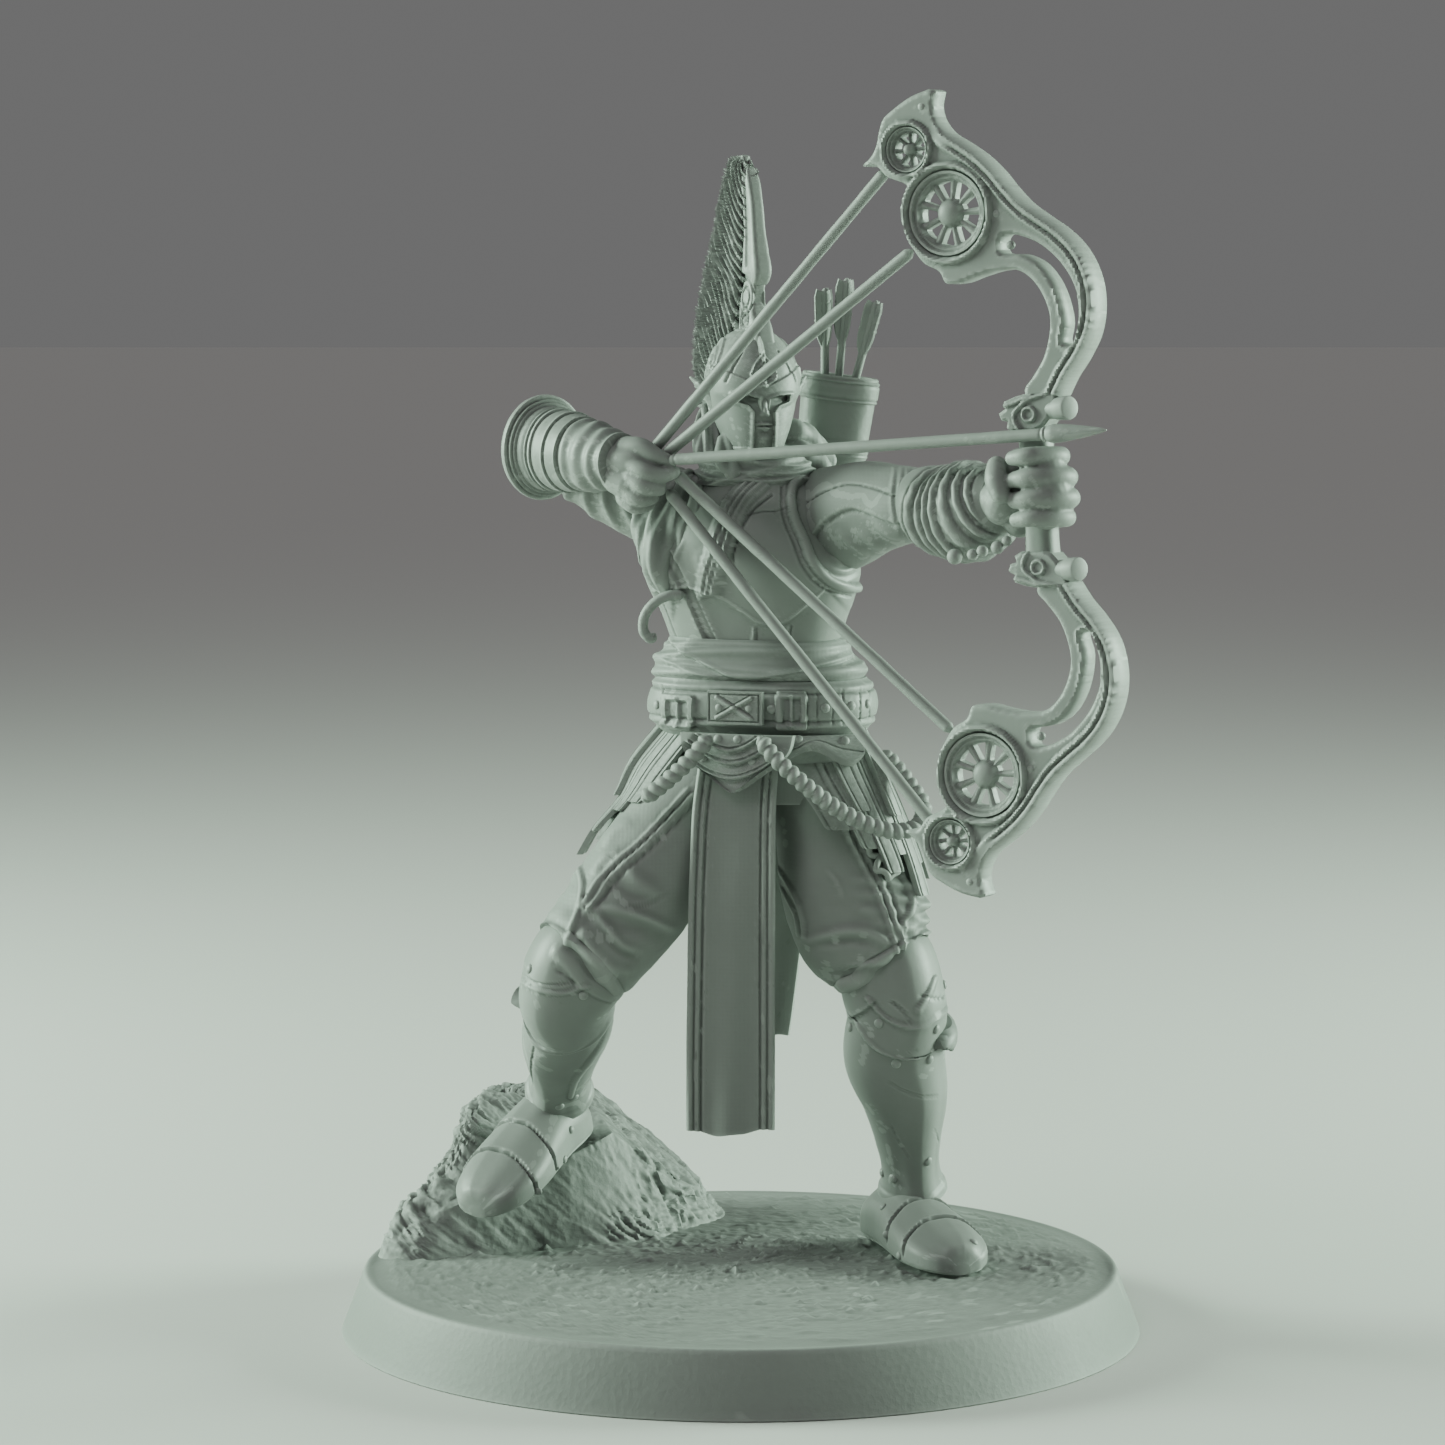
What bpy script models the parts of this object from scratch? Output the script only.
"""Unpainted resin gaming figure: an armoured archer at full draw on a 32 mm round base.

Metres, +Z up. The origin is the centre of the base's underside, and the archer faces -Y.
All sizes below are in millimetres and are turned into metres where the meshes are made.
"""

from math import copysign, cos, radians, sin, tau

import bmesh
import bpy
from mathutils import Matrix, Vector

MM = 0.001
GAP = 0.08  # glue gap left between two cast pieces that meet
SIDES = 14  # corners of a limb's cross-section

# Base and rock
BASE_RADIUS = 16.0
BASE_TOP_RADIUS = 15.08
BASE_HEIGHT = 2.6
ROCK_CENTRE = (-8.2, 7.2)
SOLE_SLOPE = 0.327  # fall of the right sole from heel to toe

# Body landmarks
HIP_R = Vector((-1.25, 1.4, 21.7))
KNEE_R = Vector((-6.9, -1.8, 14.5))
ANKLE_R = Vector((-7.4, 4.2, 9.0))
HEEL_R = Vector((-6.9, 6.2, 6.65))
TOE_R = Vector((-10.45, 0.1, 4.35))
HIP_L = Vector((3.15, 1.2, 21.7))
KNEE_L = Vector((6.1, -0.8, 14.2))
ANKLE_L = Vector((6.95, 2.3, 5.6))
HEEL_L = Vector((5.95, 4.3, 2.65))
TOE_L = Vector((8.7, -3.1, 2.65))
HIP_YAW = radians(20)  # turn of the hips to the figure's right
CHEST_YAW = radians(25)
HEAD_YAW = radians(-20)  # the head looks along the arrow
SHOULDER_L = Vector((4.15, -1.0, 32.85))
ELBOW_L = Vector((6.95, -4.9, 33.3))
WRIST_L = Vector((9.7, -8.2, 33.6))
SHOULDER_R = Vector((-3.15, 2.2, 32.65))
ELBOW_R = Vector((-7.7, 3.0, 35.15))
WRIST_R = Vector((-4.9, -0.9, 34.8))
HEAD = Vector((0.6, 0.25, 37.3))

# Bow: a flat frame with u along the arrow, v up the bow and w towards the front of the figure
AIM = radians(31)
TILT = radians(4.35)
GRIP = Vector((11.14, -9.6, 34.01))
NOCK = (-16.3, 2.0)
ARROW_V = 2.08
ARROW_PASS = 0.95  # how far the arrow stands in front of the riser's middle
STRING_RADIUS = 0.23
LIMB_THICK = 1.1
CAM_CENTRE = (-2.9, 10.6)
CAM_RADIUS = 1.55
IDLER_CENTRE = (-4.45, 13.12)
IDLER_RADIUS = 0.8
LIMB_OUTER = (
    (1.35, 3.45), (1.75, 4.1), (2.35, 4.85), (2.85, 5.7), (3.07, 6.7), (3.02, 7.6), (2.78, 8.35),
    (2.35, 9.05), (1.75, 9.65), (1.0, 10.2), (0.35, 10.7), (-0.2, 11.3), (-0.75, 12.0),
    (-1.4, 12.65), (-2.15, 13.2), (-2.8, 13.65), (-3.15, 14.15), (-3.25, 14.6), (-3.1, 15.2),
)
LIMB_INNER = (
    (-3.35, 15.3), (-4.15, 15.1), (-4.95, 14.7), (-5.45, 14.35), (-5.65, 13.9), (-5.8, 13.4),
    (-6.1, 12.95), (-6.45, 12.7), (-5.8, 12.58), (-5.45, 12.2), (-5.0, 12.0), (-4.6, 11.8),
    (-4.82, 11.1), (-4.78, 10.2), (-4.5, 9.4), (-4.05, 8.8), (-3.4, 8.4), (-3.2, 8.0),
    (-2.7, 7.95), (-1.8, 8.15), (-0.9, 8.3), (0.0, 8.2), (0.5, 7.8), (0.9, 7.15), (1.1, 6.4),
    (1.0, 5.65), (0.72, 4.9), (0.2, 4.2), (-0.15, 3.75), (-0.1, 3.45),
)
LIMB_SLOT = (
    (-0.75, 9.5), (0.6, 9.3), (1.35, 8.75), (1.95, 8.0), (2.3, 7.1), (2.3, 6.2), (2.0, 5.3),
    (1.62, 5.35), (1.72, 6.2), (1.62, 6.9), (1.3, 7.75), (0.75, 8.45), (0.1, 8.8), (-0.8, 9.0),
)

figure = bpy.data.collections.new("resin_archer")
cutters = bpy.data.collections.new("cutters")


def clear_scene():
    for thing in list(bpy.data.objects):
        bpy.data.objects.remove(thing, do_unlink=True)
    for group in (figure, cutters):
        bpy.context.scene.collection.children.link(group)


def resin(name, grey):
    """Cast resin, unpainted: matte, with a slight green cast."""
    material = bpy.data.materials.new(name)
    material.use_nodes = True
    surface = material.node_tree.nodes["Principled BSDF"]
    surface.inputs["Base Color"].default_value = (grey, grey * 1.02, grey * 0.99, 1)
    surface.inputs["Roughness"].default_value = 0.55
    surface.inputs["Metallic"].default_value = 0.0
    return material


def place(name, bm, grey, group=figure):
    """Turns a mesh in millimetres into a named object in metres."""
    bmesh.ops.scale(bm, vec=(MM, MM, MM), verts=bm.verts)
    bmesh.ops.recalc_face_normals(bm, faces=bm.faces)
    mesh = bpy.data.meshes.new(name)
    bm.to_mesh(mesh)
    bm.free()
    mesh.shade_smooth()
    mesh.set_sharp_from_angle(angle=radians(35))
    mesh.materials.append(resin(name + "_resin", grey))
    thing = bpy.data.objects.new(name, mesh)
    group.objects.link(thing)
    return thing


def cut(thing, bm):
    """Takes a closed cutter, given in millimetres, out of an object."""
    cutter = place(f"{thing.name}_cutter_{len(thing.modifiers) + 1}", bm, 0.5, cutters)
    cutter.hide_render = True
    cutter.display_type = "WIRE"
    boolean = thing.modifiers.new("cut", "BOOLEAN")
    boolean.operation = "DIFFERENCE"
    boolean.object = cutter


def ring(centre, across, front, half_across, half_front, boxy=1.0, sides=SIDES):
    """An oval of points round centre. A boxy value under 1 squares its corners."""
    points = []
    for k in range(sides):
        angle = tau * (k + 0.5) / sides
        x = copysign(abs(cos(angle)) ** boxy, cos(angle))
        y = copysign(abs(sin(angle)) ** boxy, sin(angle))
        points.append(centre + across * half_across * x + front * half_front * y)
    return points


def skin(rings):
    """A closed mesh through a list of rings with the same number of points."""
    bm = bmesh.new()
    loops = [[bm.verts.new(point) for point in points] for points in rings]
    count = len(loops[0])
    for low, high in zip(loops, loops[1:]):
        for k in range(count):
            after = (k + 1) % count
            bm.faces.new((low[k], low[after], high[after], high[k]))
    bm.faces.new(loops[0])
    bm.faces.new(loops[-1])
    return bm


def heading(yaw):
    """The across and forward directions of a part of the body turned by yaw."""
    return Vector((cos(yaw), -sin(yaw), 0)), Vector((-sin(yaw), -cos(yaw), 0))


def stack(name, levels, yaw, grey, boxy=0.85):
    """A part of the trunk: levels hold x, y, z, half width and half depth."""
    across, front = heading(yaw)
    rings = [ring(Vector(level[:3]), across, front, level[3], level[4], boxy) for level in levels]
    return place(name, skin(rings), grey)


def limb(name, points, sizes, grey, ends=(None, None), peg=None, socket=None, facing=(0, -1, 0)):
    """A limb's segment through points. ends give the planes that it shares with its neighbours,
    peg a radius and length past its last face, and socket a radius and depth into its first."""
    rings = []
    for k, (point, size) in enumerate(zip(points, sizes)):
        before = points[max(k - 1, 0)]
        after = points[min(k + 1, len(points) - 1)]
        along = (after - before).normalized()
        if k == 0 and ends[0]:
            along = Vector(ends[0]).normalized()
        if k == len(points) - 1 and ends[1]:
            along = Vector(ends[1]).normalized()
        across = along.cross(Vector(facing)).normalized()
        front = across.cross(along)
        if k == 0:
            inward = along * GAP / 2
        elif k == len(points) - 1:
            inward = -along * GAP / 2
        else:
            inward = Vector((0, 0, 0))
        rings.append(ring(point + inward, across, front, size[0], size[1]))
        if k == 0 and socket:
            mouth = ring(point + inward, across, front, socket[0], socket[0])
            bottom = ring(point + along * socket[1], across, front, socket[0], socket[0])
            rings = [bottom, mouth] + rings
        if k == len(points) - 1 and peg:
            rings.append(ring(point + inward, across, front, peg[0], peg[0]))
            rings.append(ring(point + along * peg[1], across, front, peg[0], peg[0]))
    return place(name, skin(rings), grey)


def between(start, end, *shares):
    """Points on the way from start to end, as shares of the length."""
    return [start.lerp(end, share) for share in shares]


def disc(name, centre, axis, radius, depth, grey, sides=20, end_radius=None):
    """A round piece centred on a point, with its axis along a direction."""
    bm = bmesh.new()
    turn = Vector(axis).to_track_quat("Z", "Y").to_matrix().to_4x4()
    bmesh.ops.create_cone(
        bm, cap_ends=True, segments=sides, radius1=radius,
        radius2=radius if end_radius is None else end_radius,
        depth=depth, matrix=Matrix.Translation(centre) @ turn,
    )
    return place(name, bm, grey)


def round_cutter(centre, axis, radius, depth, sides=20):
    bm = bmesh.new()
    turn = Vector(axis).to_track_quat("Z", "Y").to_matrix().to_4x4()
    bmesh.ops.create_cone(
        bm, cap_ends=True, segments=sides, radius1=radius, radius2=radius,
        depth=depth, matrix=Matrix.Translation(centre) @ turn,
    )
    return bm


def tube(name, points, radius, grey):
    """A cord or rope as a curve with filled caps."""
    curve = bpy.data.curves.new(name, "CURVE")
    curve.dimensions = "3D"
    curve.bevel_depth = radius * MM
    curve.bevel_resolution = 2
    curve.use_fill_caps = True
    spline = curve.splines.new("POLY")
    spline.points.add(len(points) - 1)
    for slot, point in zip(spline.points, points):
        slot.co = (*(Vector(point) * MM), 1)
    curve.materials.append(resin(name + "_resin", grey))
    thing = bpy.data.objects.new(name, curve)
    figure.objects.link(thing)
    return thing


# ---------------------------------------------------------------- base and rock


def make_base():
    base = disc(
        "base_disc", (0, 0, BASE_HEIGHT / 2), (0, 0, 1), BASE_RADIUS, BASE_HEIGHT, 0.46, 64,
        BASE_TOP_RADIUS,
    )
    recess = round_cutter(Vector((0, 0, BASE_HEIGHT)), (0, 0, 1), BASE_TOP_RADIUS - 0.35, 0.3, 64)
    cut(base, recess)


def sole_height(x, y):
    """Height of the right sole's plane above a point of the base."""
    walk = (TOE_R - HEEL_R).to_2d().normalized()
    return HEEL_R.z - SOLE_SLOPE * (Vector((x, y)) - HEEL_R.to_2d()).dot(walk)


def near_foot(x, y, reach):
    heel, toe = HEEL_R.to_2d(), TOE_R.to_2d()
    walk = toe - heel
    share = min(max((Vector((x, y)) - heel).dot(walk) / walk.length_squared, 0), 1)
    return (Vector((x, y)) - heel - walk * share).length < reach


def rock_height(x, y, share):
    """Height of the rock: a crest that falls to both ends, a cliff at the rim, a sloping front."""
    if x > -7:
        top = 5.6 - 0.78 * (x + 7)
    elif x < -10.8:
        top = 5.6 + 0.75 * (x + 10.8)
    else:
        top = 5.6
    run = 0.5 if y < 6 and x > -12 else 0.1
    return BASE_HEIGHT + max(top, 1.0) * min(1.0, share / run) ** 0.75


def make_rock():
    outline = (
        (-0.6, 9.9), (-2.1, 6.9), (-3.9, 4.4), (-6.1, 3.3), (-8.5, 2.4), (-11.0, 1.2),
        (-13.4, 0.3), (-14.6, 1.2), (-14.5, 3.0), (-13.9, 5.0), (-12.9, 7.0), (-11.5, 9.1),
        (-9.8, 10.9), (-7.8, 12.4), (-5.4, 13.4), (-3.2, 13.2), (-1.4, 12.2),
    )
    rings = []
    for scale in (0.9, 1.0, 0.96, 0.9, 0.8, 0.68, 0.54, 0.38, 0.2):
        points = []
        for x, y in outline:
            px = ROCK_CENTRE[0] + (x - ROCK_CENTRE[0]) * scale
            py = ROCK_CENTRE[1] + (y - ROCK_CENTRE[1]) * scale
            if len(rings) < 2:
                height = BASE_HEIGHT + GAP
            else:
                height = rock_height(px, py, 1 - scale)
            if near_foot(px, py, 2.6) and len(rings) >= 2:
                height = min(height, sole_height(px, py) - 0.35)
            points.append(Vector((px, py, height)))
        rings.append(points)
    place("rock", skin(rings), 0.44)


# ---------------------------------------------------------------- legs


def make_foot(side, heel, toe, grey):
    """The plated shoe: sections from heel to toe, each resting on the sole's plane."""
    walk = toe - heel
    across = walk.cross(Vector((0, 0, 1))).normalized()
    rise = across.cross(walk).normalized()
    if rise.z < 0:
        rise = -rise
    sections = (
        (-0.04, 0.8, 1.3), (0.03, 1.2, 1.9), (0.15, 1.4, 2.4), (0.32, 1.45, 2.35),
        (0.46, 1.6, 2.0), (0.62, 1.75, 1.75), (0.78, 1.7, 1.5), (0.92, 1.35, 1.2), (1.0, 0.75, 0.85),
    )
    rings = []
    for share, half_width, height in sections:
        middle = heel + walk * share + rise * (height / 2 + GAP)
        rings.append(ring(middle, across, rise, half_width, height / 2, 0.7))
    place(f"{side}_sabaton", skin(rings), grey)


def make_leg(side, hip, knee, ankle, heel, toe, inward, bulk, grey):
    """One leg. inward moves the loose trouser towards the other leg, and bulk widens it."""
    thigh_way = (knee - hip).normalized()
    shin_way = (ankle - knee).normalized()
    knee_top = knee - thigh_way * 0.9 + Vector((0, 0.25, 0))
    knee_low = knee + shin_way * 1.5
    bend = thigh_way + shin_way
    limb(
        f"{side}_thigh",
        [hip] + [
            point + Vector((inward * share, 0, 0))
            for point, share in zip(between(hip, knee_top, 0.25, 0.5, 0.72, 0.9), (0.2, 0.6, 1.0, 0.8))
        ] + [knee_top],
        (
            (2.05, 2.6), (2.2 + bulk * 0.4, 2.5), (2.35 + bulk * 0.8, 2.5), (2.35 + bulk, 2.4),
            (2.2 + bulk, 2.25), (1.9, 1.9),
        ),
        grey, ((0, 0, -1), thigh_way + bend * 0.2), peg=(0.7, 0.7),
    )
    limb(
        f"{side}_knee_guard",
        [knee_top] + between(knee_top, knee_low, 0.5, 1.0),
        ((1.95, 1.9), (2.0, 1.95), (1.75, 1.8)),
        grey + 0.02, (thigh_way + bend * 0.2, shin_way), peg=(0.7, 0.6), socket=(0.75, 0.75),
    )
    limb(
        f"{side}_greave",
        [knee_low, knee_low.lerp(ankle, 0.25) + Vector((inward * 0.5, 0, 0))]
        + between(knee_low, ankle, 0.5, 0.75, 1.0),
        (
            (1.75 + bulk * 0.5, 1.75), (1.8 + bulk * 0.7, 1.95), (1.65 + bulk * 0.3, 1.8), (1.35, 1.45),
            (1.2, 1.3),
        ),
        grey, (shin_way, shin_way), socket=(0.75, 0.65),
    )
    make_foot(side, heel, toe, grey)


# ---------------------------------------------------------------- trunk and cloth


def make_trunk():
    stack("pelvis", (
        (1.05, 1.3, 21.75, 3.6, 2.4), (1.05, 1.3, 22.6, 3.9, 2.5), (0.95, 1.25, 24.12, 3.9, 2.55),
    ), HIP_YAW, 0.42)
    stack("belt", (
        (0.85, 1.1, 24.2, 4.4, 2.95), (0.85, 1.1, 24.45, 4.5, 3.05), (0.8, 1.1, 25.85, 4.4, 3.0),
        (0.8, 1.1, 26.1, 4.3, 2.9),
    ), HIP_YAW, 0.48)
    stack("sash", (
        (0.75, 1.1, 26.18, 4.1, 2.75), (0.7, 1.05, 26.7, 4.0, 2.75), (0.6, 1.0, 27.4, 3.55, 2.5),
    ), HIP_YAW, 0.45)
    stack("cuirass", (
        (0.6, 1.0, 27.48, 3.5, 2.35), (0.55, 0.9, 28.4, 3.75, 2.5), (0.5, 0.8, 29.6, 4.2, 2.75),
        (0.45, 0.7, 30.7, 4.4, 2.9), (0.45, 0.65, 31.7, 3.7, 2.95), (0.55, 0.65, 32.8, 3.15, 2.6),
        (0.6, 0.65, 33.5, 2.9, 2.2), (0.6, 0.6, 34.0, 2.2, 1.8),
    ), CHEST_YAW, 0.47)
    collar = stack("collar", (
        (0.6, 0.6, 34.08, 2.3, 1.95), (0.6, 0.55, 34.5, 2.25, 1.95), (0.6, 0.5, 34.98, 1.7, 1.6),
    ), CHEST_YAW, 0.44)
    cut(collar, round_cutter(Vector((0.65, 0.25, 34.5)), (0, 0, 1), 1.2, 3.0))


def panel(name, levels, yaw, grey, thick=0.36):
    """A hanging piece of cloth or plate: levels hold x, y, z and half width."""
    across, front = heading(yaw)
    rings = []
    for x, y, z, half in levels:
        corners = ((-1, -1), (1, -1), (1, 1), (-1, 1))
        middle = Vector((x, y, z))
        rings.append([middle + across * half * a + front * thick / 2 * b for a, b in corners])
    return place(name, skin(rings), grey)


def wrap(name, levels, sweep, yaw, grey, thick=0.4, steps=8):
    """Leather that lies round the hip: levels hold x, y, z and the radii that its inside keeps to."""
    across, front = heading(yaw)
    rings = []
    for x, y, z, half_across, half_front in levels:
        arcs = [[], []]
        for k in range(steps + 1):
            angle = radians(sweep[0] + (sweep[1] - sweep[0]) * k / steps)
            for arc, grow in zip(arcs, (0.0, thick)):
                arc.append(
                    Vector((x, y, z)) + across * (half_across + grow) * cos(angle)
                    + front * (half_front + grow) * sin(angle)
                )
        rings.append(arcs[0] + arcs[1][::-1])
    return place(name, skin(rings), grey)


def make_hangings():
    panel("front_tabard", (
        (-0.1, -1.72, 22.9, 1.55), (-0.25, -2.05, 21.4, 1.6), (-0.35, -2.35, 18.5, 1.68),
        (-0.4, -2.45, 14.0, 1.72), (-0.42, -2.5, 10.5, 1.72), (-0.42, -2.5, 8.2, 1.72),
    ), radians(6), 0.45)
    panel("rear_tabard", (
        (1.5, 4.2, 23.9, 1.7), (1.3, 4.5, 21.0, 1.75), (0.8, 4.6, 16.0, 1.8), (0.3, 4.7, 10.8, 1.7),
    ), radians(2), 0.42)
    panel("belly_plate", (
        (-0.25, -2.3, 24.1, 2.4), (-0.28, -2.45, 23.2, 2.2), (-0.3, -2.55, 22.4, 1.2),
        (-0.3, -2.58, 21.9, 0.25),
    ), HIP_YAW, 0.5, 0.4)
    panel("belt_buckle", (
        (-0.28, -2.1, 24.55, 1.1), (-0.28, -2.1, 25.75, 1.1),
    ), HIP_YAW, 0.52, 0.3)
    wrap("hip_straps_left", (
        (0.95, 1.25, 24.1, 4.05, 2.7), (1.6, 1.1, 22.6, 4.1, 3.0), (2.9, 0.9, 21.0, 3.45, 3.1),
        (4.05, 0.5, 18.9, 3.1, 3.0), (4.65, 0.05, 16.4, 3.25, 2.9),
    ), (-25, 50), HIP_YAW, 0.43)
    wrap("hip_straps_right", (
        (0.95, 1.25, 24.1, 4.05, 2.7), (0.1, 1.2, 22.8, 4.3, 2.8), (-1.4, 1.1, 21.2, 3.5, 3.0),
        (-2.6, 0.6, 20.0, 3.3, 3.0), (-3.3, 0.4, 18.8, 3.3, 3.0),
    ), (140, 205), HIP_YAW, 0.43)


# ---------------------------------------------------------------- arms and head


def make_arms():
    side_l, _ = heading(CHEST_YAW)
    upper_l = (ELBOW_L - SHOULDER_L).normalized()
    fore_l = (WRIST_L - ELBOW_L).normalized()
    limb(
        "left_upper_arm",
        [SHOULDER_L] + between(SHOULDER_L, ELBOW_L, 0.3, 0.65, 1.0),
        ((1.6, 1.75), (1.7, 1.9), (1.5, 1.55), (1.35, 1.35)),
        0.45, (side_l + upper_l * 0.4, upper_l + fore_l), peg=(0.6, 0.6), facing=(0, 0, 1),
    )
    limb(
        "left_bracer",
        [ELBOW_L] + [point - Vector((0, 0, 0.35)) for point in between(ELBOW_L, WRIST_L, 0.35, 0.75)]
        + [WRIST_L],
        ((1.35, 1.35), (1.6, 1.75), (1.7, 1.95), (1.3, 1.4)),
        0.47, (upper_l + fore_l, fore_l), peg=(0.5, 0.5), socket=(0.65, 0.65), facing=(0, 0, 1),
    )
    upper_r = (ELBOW_R - SHOULDER_R).normalized()
    fore_r = (WRIST_R - ELBOW_R).normalized()
    elbow_in = ELBOW_R - upper_r * 0.6
    upper_arm = limb(
        "right_upper_arm",
        [SHOULDER_R] + between(SHOULDER_R, elbow_in, 0.35, 0.7, 1.0),
        ((1.6, 1.5), (1.6, 1.55), (1.4, 1.4), (1.2, 1.2)),
        0.45, (upper_r - side_l * 0.4, upper_r), peg=(0.5, 0.5), facing=(0, 0, 1),
    )
    limb(
        "right_elbow_guard",
        [ELBOW_R - fore_r * 0.9, ELBOW_R - fore_r * 0.5, ELBOW_R + fore_r * 0.9],
        ((1.35, 1.35), (1.9, 1.9), (1.5, 1.5)),
        0.5, (fore_r, fore_r), peg=(0.6, 0.5), facing=(0, 0, 1),
    )
    clear_along = fore_r.cross(Vector((0, 0, 1))).normalized()
    clear_up = clear_along.cross(fore_r)
    cut(upper_arm, skin([
        ring(ELBOW_R + fore_r * reach, clear_along, clear_up, radius, radius)
        for reach, radius in ((-0.6, 1.95), (0.9, 1.75), (2.6, 1.55), (4.6, 1.2))
    ]))
    limb(
        "right_forearm",
        [ELBOW_R + fore_r * 0.9] + between(ELBOW_R + fore_r * 0.9, WRIST_R, 0.4, 1.0),
        ((1.5, 1.5), (1.35, 1.35), (1.0, 1.0)),
        0.47, (fore_r, fore_r), peg=(0.5, 0.4), socket=(0.65, 0.55), facing=(0, 0, 1),
    )
    nock = bow_point(NOCK[0], NOCK[1], 0)
    hand_way = (nock - WRIST_R).normalized()
    limb(
        "right_hand",
        [WRIST_R, WRIST_R.lerp(nock, 0.35), WRIST_R.lerp(nock, 0.75), nock - hand_way * 0.12],
        ((0.8, 0.95), (1.0, 1.25), (0.85, 1.3), (0.5, 1.05)),
        0.45, (fore_r, hand_way), socket=(0.55, 0.45), facing=(0, 0, 1),
    )


def make_left_hand():
    """The fist closed round the riser."""
    up = bow_way(0, 1, 0)
    across = bow_way(1, 0, 0)
    front = bow_way(0, 0, 1)
    middle = bow_point(0, 0, 0)
    shape = ((-1.4, 1.15, 1.1), (-0.9, 1.5, 1.45), (0.0, 1.6, 1.5), (0.9, 1.5, 1.45), (1.4, 1.15, 1.1))
    rings = [
        ring(middle + up * v - across * 0.2, across, front, half_u, half_w, 0.8)
        for v, half_u, half_w in shape
    ]
    hand = place("left_hand", skin(rings), 0.46)
    cut(hand, round_cutter(middle, up, 0.78, 5.0))
    wrist_way = (WRIST_L - middle).normalized()
    wrist_length = (WRIST_L - middle).length
    cut(hand, round_cutter(middle + wrist_way * (wrist_length + 1.0 - GAP * 3), wrist_way, 3.0, 2.0))
    fore_l = (WRIST_L - ELBOW_L).normalized()
    cut(hand, round_cutter(WRIST_L, fore_l, 0.6, 1.3))


def make_head():
    across, front = heading(HEAD_YAW)
    face = (
        (34.1, 0.1, 0.85, 0.9), (35.3, 0.15, 0.85, 0.95),
        (35.5, 0.35, 1.0, 1.2), (36.2, 0.3, 1.3, 1.6), (37.2, 0.1, 1.4, 1.75), (38.2, 0.0, 1.35, 1.6),
        (38.8, 0.0, 0.95, 1.1),
    )
    rings = [
        ring(Vector((HEAD.x, HEAD.y, z)) + front * ahead, across, front, half_x, half_y)
        for z, ahead, half_x, half_y in face
    ]
    place("head", skin(rings), 0.46)

    def shell(grow, top, bottom):
        levels = (
            (bottom, 0.15, 1.72, 2.1), (36.4, 0.15, 1.78, 2.2), (37.3, 0.0, 1.85, 2.25),
            (38.2, -0.1, 1.8, 2.15), (38.9, -0.1, 1.45, 1.75), (top, -0.1, 0.8, 1.0),
        )
        return [
            ring(Vector((HEAD.x, HEAD.y, z)) + front * ahead, across, front, x + grow, y + grow)
            for z, ahead, x, y in levels
        ]

    outer = shell(0.0, 39.5, 35.7)
    inner = shell(-0.28, 39.1, 35.7)
    helmet = place("helmet", skin(list(reversed(outer)) + inner), 0.5)
    slot = bmesh.new()
    middle = Vector((HEAD.x, HEAD.y, 36.5)) + front * 2.0
    frame = Matrix((
        (across.x, front.x, 0, middle.x), (across.y, front.y, 0, middle.y),
        (0, 0, 1, middle.z), (0, 0, 0, 1),
    ))
    bmesh.ops.create_cube(slot, size=1, matrix=frame @ Matrix.Diagonal((1.3, 2.0, 2.2, 1)))
    cut(helmet, slot)


def fin(name, outline, half_thick, grey):
    """A flat piece standing in the head's middle plane: outline holds how far back, and height."""
    across, front = heading(HEAD_YAW)
    rings = []
    for side in (-1, 1):
        rings.append([
            Vector((HEAD.x, HEAD.y, z)) - front * back + across * half_thick * side
            for back, z in outline
        ])
    return place(name, skin(rings), grey)


def make_crest():
    fin("crest_holder", (
        (-1.0, 39.72), (-1.15, 40.3), (-0.75, 41.2), (-0.55, 42.4), (-0.5, 43.6), (-0.2, 44.9),
        (0.35, 45.2), (0.2, 43.6), (0.15, 42.2), (0.2, 41.0), (0.6, 40.2), (0.7, 39.72),
    ), 0.36, 0.5)
    fin("plume", (
        (0.78, 39.75), (0.72, 40.3), (0.35, 41.1), (0.27, 42.3), (0.32, 43.5), (0.5, 45.3),
        (0.35, 46.3), (0.95, 46.2), (1.6, 45.5), (2.3, 44.4), (2.7, 43.0), (3.2, 41.8),
        (3.9, 40.5), (4.2, 39.2), (4.1, 37.9), (3.5, 36.6), (2.85, 36.2), (2.65, 37.2), (2.5, 38.3),
        (2.05, 39.3), (1.3, 39.75),
    ), 0.45, 0.43)


# ---------------------------------------------------------------- quiver


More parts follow.
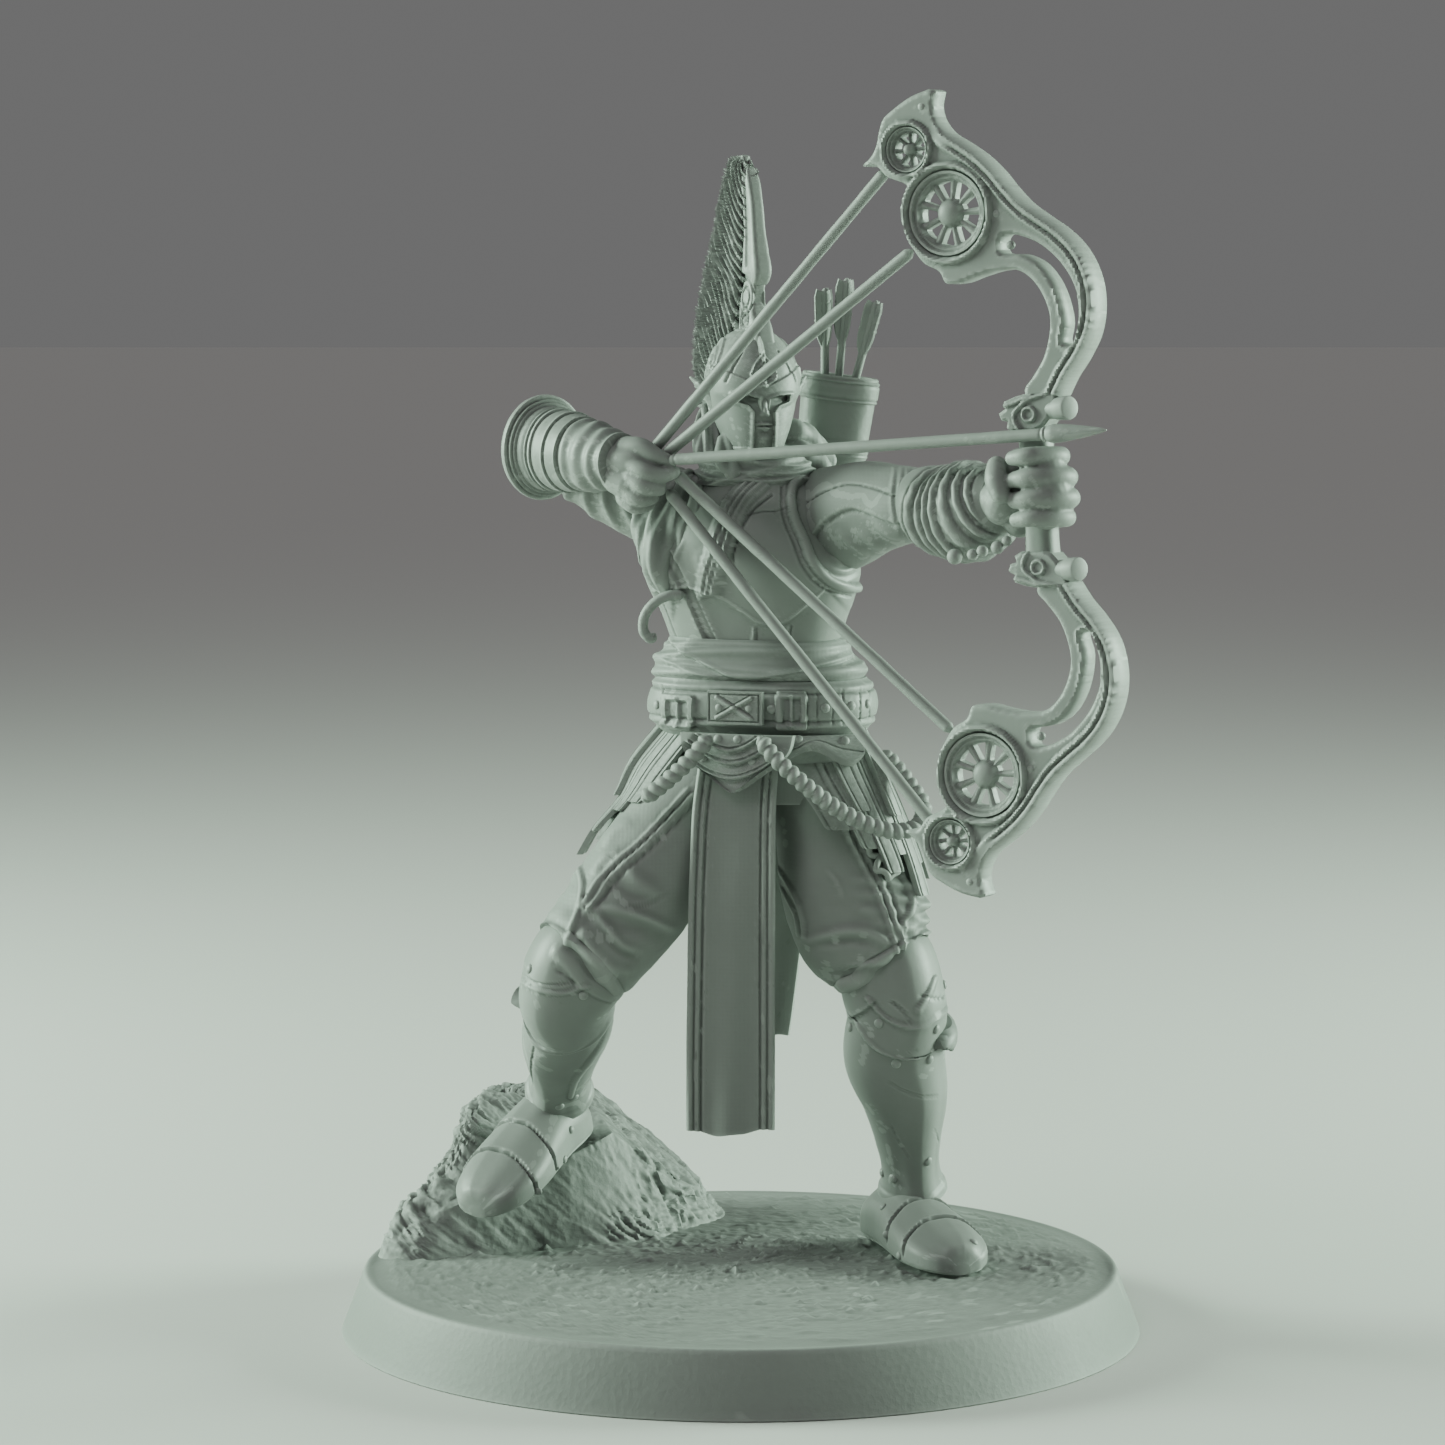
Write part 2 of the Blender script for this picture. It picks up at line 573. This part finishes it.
def make_quiver():
    top, bottom = Vector((4.05, 4.65, 38.0)), Vector((2.7, 4.85, 27.2))
    rings = []
    axis = (top - bottom).normalized()
    across = axis.cross(Vector((0, 1, 0))).normalized()
    front = across.cross(axis)
    for share, radius in ((0.0, 1.0), (0.05, 1.2), (0.5, 1.35), (0.92, 1.5), (1.0, 1.58)):
        rings.append(ring(bottom.lerp(top, share), across, front, radius, radius * 0.9))
    rings.append(ring(top, across, front, 1.3, 1.15))
    rings.append(ring(top - axis * 1.6, across, front, 1.25, 1.1))
    place("quiver", skin(rings), 0.47)
    arrows = ((-0.75, (3.4, 4.2, 41.6)), (0.0, (4.3, 4.4, 42.0)), (0.7, (5.5, 4.3, 41.1)))
    for k, (shift, tip) in enumerate(arrows):
        foot = top - axis * 1.5 + across * -shift * 0.6 + front * 0.1
        point = Vector(tip)
        lean = (point - foot).normalized()
        vane = lean.cross(Vector((0.3, 1, 0))).normalized()
        depth = vane.cross(lean)
        shaft = (
            (0.0, 0.17, 0.17), (0.5, 0.17, 0.17), (0.58, 0.38, 0.3), (0.95, 0.42, 0.32), (1.0, 0.3, 0.2),
        )
        rings = [ring(foot.lerp(point, s), vane, depth, a, b, 1, 8) for s, a, b in shaft]
        place(f"quiver_arrow_{k + 1}", skin(rings), 0.42)


# ---------------------------------------------------------------- bow


def bow_way(u, v, w):
    """A direction in the bow's frame, turned into the figure's."""
    aim = Vector((cos(AIM), -sin(AIM), 0))
    toward = Vector((-sin(AIM), -cos(AIM), 0))
    level_u = u * cos(TILT) - v * sin(TILT)
    level_v = u * sin(TILT) + v * cos(TILT)
    return aim * level_u + Vector((0, 0, 1)) * level_v + toward * w


def bow_point(u, v, w):
    return GRIP + bow_way(u, v, w)


def flat_piece(name, outline, holes, thick, grey):
    """A flat bow part: a closed outline with holes, extruded about the bow's plane."""
    curve = bpy.data.curves.new(name, "CURVE")
    curve.dimensions = "2D"
    curve.fill_mode = "BOTH"
    curve.extrude = thick * MM / 2
    for loop in (outline, *holes):
        spline = curve.splines.new("POLY")
        spline.use_cyclic_u = True
        spline.points.add(len(loop) - 1)
        for slot, (u, v) in zip(spline.points, loop):
            slot.co = (u * MM, v * MM, 0, 1)
    curve.materials.append(resin(name + "_resin", grey))
    thing = bpy.data.objects.new(name, curve)
    x, y, z = bow_way(1, 0, 0), bow_way(0, 1, 0), bow_way(0, 0, 1)
    turn = Matrix(((x.x, y.x, z.x), (x.y, y.y, z.y), (x.z, y.z, z.z))).to_4x4()
    thing.matrix_world = Matrix.Translation(GRIP * MM) @ turn
    figure.objects.link(thing)


def circle(centre, radius, sides):
    return [
        (centre[0] + radius * cos(tau * k / sides), centre[1] + radius * sin(tau * k / sides))
        for k in range(sides)
    ]


def make_bow():
    front = bow_way(0, 0, 1)
    for side, sign in (("upper", 1), ("lower", -1)):
        outline = [(u, v * sign) for u, v in LIMB_OUTER + LIMB_INNER]
        slot = [(u, v * sign) for u, v in LIMB_SLOT]
        wheels = (("cam", CAM_CENTRE, CAM_RADIUS), ("idler", IDLER_CENTRE, IDLER_RADIUS))
        holes = [circle((c[0], c[1] * sign), r + GAP, 24) for _, c, r in wheels]
        flat_piece(f"{side}_limb", outline, [slot, *holes], LIMB_THICK, 0.48)
        for label, centre, radius in wheels:
            middle = bow_point(centre[0], centre[1] * sign, 0)
            disc(f"{side}_{label}_wheel", middle, front, radius, 1.3, 0.5, 24)
        pin = bow_point(1.15, 3.0 * sign, 0)
        disc(f"{side}_limb_pin", pin, front, 0.42, 1.9, 0.5, 12)
    up, across = bow_way(0, 1, 0), bow_way(1, 0, 0)
    profile = (
        (-3.35, 0.75, 0.62), (-2.65, 0.85, 0.68), (-2.45, 0.62, 0.6), (-1.7, 0.62, 0.6),
        (-1.55, 0.62, 0.6), (1.5, 0.62, 0.6), (1.7, 0.62, 0.6), (2.45, 0.62, 0.6),
        (2.65, 0.85, 0.68), (3.35, 0.75, 0.62),
    )
    rings = [
        ring(bow_point(-0.12 if abs(v) > 2.5 else 0.0, v, 0), across, front, half_u, half_w, 1, 12)
        for v, half_u, half_w in profile
    ]
    place("bow_riser", skin(rings), 0.47)

    ends = (
        ("upper_outer", (-16.1, 3.0), (-5.95, 12.2)), ("upper_inner", (-15.7, 2.55), (-5.15, 9.1)),
        ("lower_inner", (-15.7, 1.5), (-4.6, -8.5)), ("lower_outer", (-16.1, 0.85), (-5.6, -12.3)),
    )
    for label, start, end in ends:
        tube(
            f"bowstring_{label}", [bow_point(*start, 0.35), bow_point(*end, 0)], STRING_RADIUS, 0.47,
        )
    nock = bow_point(-15.75, ARROW_V - 0.03, 0.75)
    neck = bow_point(0.9, ARROW_V, ARROW_PASS)
    tube("arrow_shaft", [nock, neck], STRING_RADIUS, 0.47)
    way = (neck - nock).normalized()
    disc("arrow_head", neck + way * (1.25 + GAP), way, 0.36, 2.5, 0.5, 12, 0.05)


def make_ropes():
    """Twisted ropes slung from the belt, shown here as plain round cords."""
    tube("rope_left", (
        (0.9, -3.4, 23.75), (1.8, -3.65, 22.9), (2.8, -3.5, 22.0), (3.9, -3.2, 21.2),
        (5.1, -3.0, 20.6), (6.3, -2.6, 20.35), (7.4, -1.9, 20.6),
    ), 0.3, 0.44)
    tube("rope_right", (
        (-1.5, -2.55, 23.7), (-2.2, -2.5, 23.0), (-3.2, -2.35, 22.1), (-4.2, -2.0, 21.4),
        (-5.1, -1.5, 20.9), (-6.0, -0.9, 20.6),
    ), 0.26, 0.44)


clear_scene()
make_base()
make_rock()
make_leg("right", HIP_R, KNEE_R, ANKLE_R, HEEL_R, TOE_R, 0.35, 0.0, 0.45)
make_leg("left", HIP_L, KNEE_L, ANKLE_L, HEEL_L, TOE_L, -0.5, 0.35, 0.45)
make_trunk()
make_hangings()
make_arms()
make_left_hand()
make_head()
make_crest()
make_quiver()
make_bow()
make_ropes()
